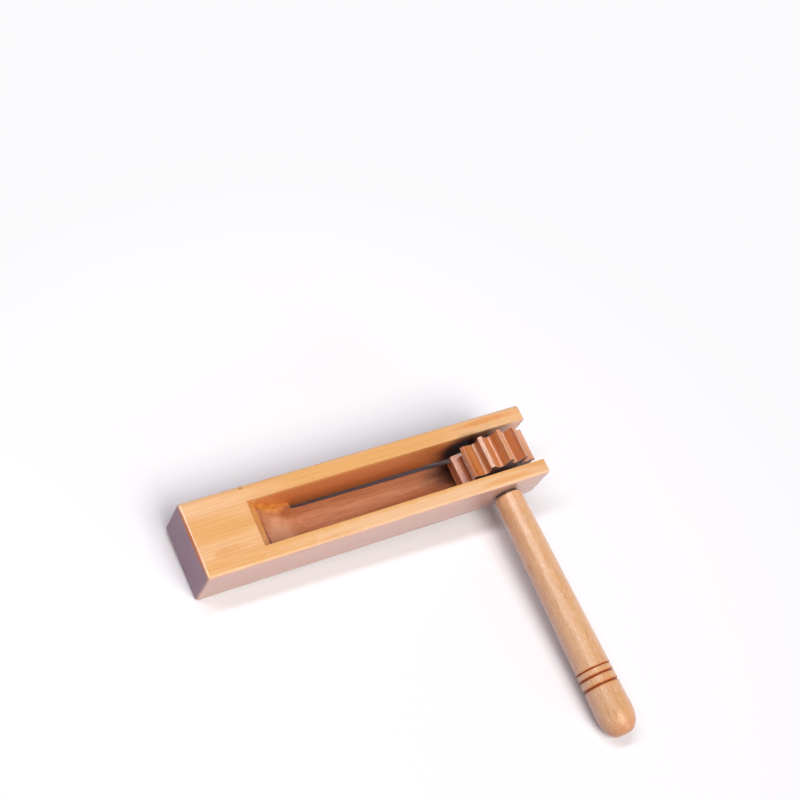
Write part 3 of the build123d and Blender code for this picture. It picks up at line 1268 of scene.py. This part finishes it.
@dataclass
class Studio:
    """A pale floor that the part rests on, soft lamps, and the camera."""

    floor_point: Triple = (53.569, 41.3, 0.0)
    floor_up: Triple = (0.0378, 0.08526, 0.99564)
    floor_half: float = 4000.0
    floor_colour: str = "#FAFAFC"
    bounce_colour: str = "#A89EC8"
    shade_centre: Triple = (2.0, 49.2, 0.0)
    shade_size: Triple = (63.0, 12.6, ENDLESS)
    shade_rim: float = 0.92
    shade_colour: str = "#948890"
    glow_from: float = 105.0
    glow_full: float = 230.0
    eye: Triple = (-248.767, -111.737, 519.217)
    forward: Triple = (0.45972, 0.31765, -0.82931)
    roll: float = 34.61
    lens: float = 73.09
    sensor: float = 36.0
    aim: Triple = (0.0, 20.0, 15.0)
    ambient: float = 0.45
    horizon: tuple[float, str] = (0.12, "#FAF8FF")
    zenith: tuple[float, str] = (0.6, "#6E6A78")
    lamps: tuple[Lamp, ...] = (
        Lamp("front_sky", Source.FAR, (0.03, -0.5, 0.86), 2.22, "#FFFBF6", spread=40.0),
        Lamp("front_box", Source.BOX, (0.46, -0.83, 0.32), 2.4, "#FFFFFF", sides=(400.0, 400.0)),
        Lamp("over_box", Source.BOX, (-0.28, 0.32, 0.9), 6.0, "#FBFAFF", sides=(1000.0, 160.0)),
    )

    def build(self) -> None:
        """Lays the floor, hangs the lamps, lights the world and places the camera."""
        self._floor()
        for lamp in self.lamps:
            self._hang(lamp)
        self._world()
        self._camera()

    @staticmethod
    def _seen_directly(graph: Graph) -> Socket:
        """Gives 1 for rays of the camera, of reflections and through glass, and 0 for the rest."""
        camera, glossy, through = map(graph.node("LightPath").get, DIRECT_RAYS)
        return graph.math("MAXIMUM", graph.math("MAXIMUM", camera, glossy), through)

    def _floor(self) -> None:
        """Lays the floor under the part's three points of rest."""
        bm = bmesh.new()
        turn = Z_AXIS.rotation_difference(Vector(self.floor_up)).to_matrix().to_4x4()
        place = Matrix.Translation(Vector(self.floor_point))
        bmesh.ops.create_grid(bm, x_segments=1, y_segments=1, size=self.floor_half, matrix=place @ turn)
        floor = finished(bm, "floor", self._card())

    def _card(self) -> Material:
        """Makes the floor's matt card, which is pure white away from the part's shadow.

        It throws back less light than it shows, as a small sheet of card in a larger room does. A grey patch
        is painted on it as deep shade right under the frame, which only shows through the slits.

        Returns:
            The finished material.
        """
        material = bpy.data.materials.new("matt_white_card")
        graph = Graph(material)
        seen = self._seen_directly(graph)
        tone = graph.mix(seen, self.bounce_colour, self.floor_colour)
        # Painted shade: a grey patch under the frame.
        under = graph.away(self.shade_centre, self.shade_size)
        shaded = graph.between(under, self.shade_rim, 1.0, 1.0, 0.0, "LINEAR")
        card = graph.node("BsdfDiffuse", {"Color": graph.mix(shaded, tone, self.shade_colour)})
        far = graph.between(graph.length(graph.place), self.glow_from, self.glow_full)
        white = graph.node("Emission", {"Color": self.floor_colour, "Strength": 1.0})
        mixed = graph.node("MixShader", {0: graph.times(far, seen), 1: card[0], 2: white[0]})
        graph.node("OutputMaterial", {"Surface": mixed[0]})
        return material

    def _hang(self, lamp: Lamp) -> None:
        """Hangs one lamp so that it faces the part, with its first side along X.

        Args:
            lamp: The lamp.
        """
        light = bpy.data.lights.new(lamp.name, lamp.source.value)
        light.energy, light.color = lamp.power, linear(lamp.colour)[:3]
        if lamp.source is Source.FAR:
            light.angle = math.radians(lamp.spread)
        else:
            light.shape, light.size, light.size_y = "RECTANGLE", lamp.sides[0] * MM, lamp.sides[1] * MM
        way = Vector(lamp.way).normalized()
        level = (X_AXIS - way * way.x).normalized()
        turn = Matrix((level, way.cross(level), way)).transposed().to_quaternion()
        self._set(light, Vector(self.aim) + way * lamp.distance, turn)
        LOG.info("lamp %s: %.1f", lamp.name, lamp.power)

    @staticmethod
    def _set(data: bpy.types.ID, place: Vector, turn: Quaternion) -> Object:
        """Sets up a lamp or a camera.

        Args:
            data: The lamp or the camera.
            place: Where it stands, in mm.
            turn: Its rotation.

        Returns:
            The object that holds it.
        """
        holder = bpy.data.objects.new(data.name, data)
        holder.location = place * MM
        holder.rotation_mode = "QUATERNION"
        holder.rotation_quaternion = turn
        bpy.context.scene.collection.objects.link(holder)
        return holder

    def _world(self) -> None:
        """Surrounds the part with a studio that is white at the horizon and dim overhead."""
        world = bpy.data.worlds.new("studio")
        graph = Graph(world)
        height = graph.node("SeparateXYZ", {0: graph.node("TexCoord")["Generated"]})["Z"]
        sky = graph.node("ValToRGB", {0: height}, (self.horizon, self.zenith))[0]
        strength = graph.between(self._seen_directly(graph), 0.0, 1.0, self.ambient, 1.0, "LINEAR")
        light = graph.node("Background", {"Color": sky, "Strength": strength})
        graph.node("OutputWorld", {"Surface": light[0]})
        bpy.context.scene.world = world

    def _camera(self) -> None:
        """Places the camera at the photograph's viewpoint."""
        data = bpy.data.cameras.new("camera")
        data.lens, data.sensor_width = self.lens, self.sensor
        level = Vector(self.forward).to_track_quat("-Z", "Y")
        turn = level @ Quaternion(Z_AXIS, math.radians(self.roll))
        bpy.context.scene.camera = self._set(data, Vector(self.eye), turn)


def main() -> None:
    """Builds the pieces and the studio."""
    logging.basicConfig(level=logging.INFO, format="%(name)s %(message)s")
    cutter = SlotCutter()
    makers: list[Callable[[], Object]] = [
        SlottedBlock(cutter, FRAME_WOOD).build,
        SpringTongue(cutter, TONGUE_WOOD).build,
        GlueLines(cutter, AMBER_GLUE, DARK_GLUE).build,
        ToothedCog(COG_WOOD).build,
        TurnedHandle(HANDLE_WOOD).build,
    ]
    for make in makers:
        LOG.info("finished %s", make().name)
    Studio().build()
    view_settings = bpy.context.scene.view_settings
    view_settings.view_transform = "Standard"
    bpy.context.view_layer.update()


if __name__ == "__main__":
    main()
